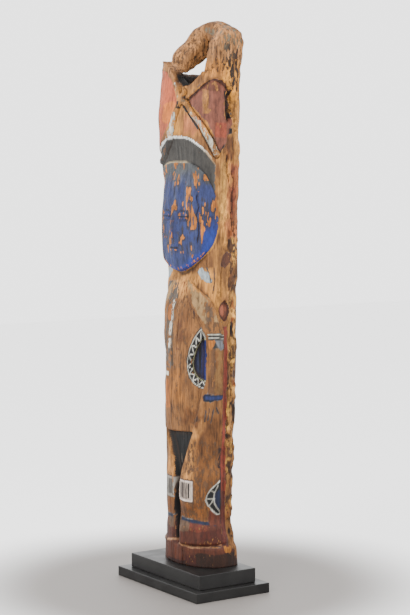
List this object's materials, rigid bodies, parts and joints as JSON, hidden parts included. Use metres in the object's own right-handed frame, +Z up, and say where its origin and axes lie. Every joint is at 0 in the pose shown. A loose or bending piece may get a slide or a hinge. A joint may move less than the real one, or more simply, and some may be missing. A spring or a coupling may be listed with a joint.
{
  "type": "carved ancestor figure on a two-step plinth",
  "caption": "Tall carved and painted wooden ancestor figure from a half-round log, on a black two-step board plinth.",
  "frame": {"origin": "middle of the plinth's underside, on the ground", "axes": "+Z up, the figure faces -Y, the figure's left hand is on the +X side"},
  "size_m": [0.515, 0.305, 1.9903],
  "materials": {
    "painted_wood": "matt, weathered, with worn earth, blue, white and black paint",
    "black_board": "satin black paint"
  },
  "bodies": {
    "root": {"figure": "painted_wood", "plinth_upper_step": "black_board", "plinth_lower_step": "black_board"}
  },
  "joints": []
}
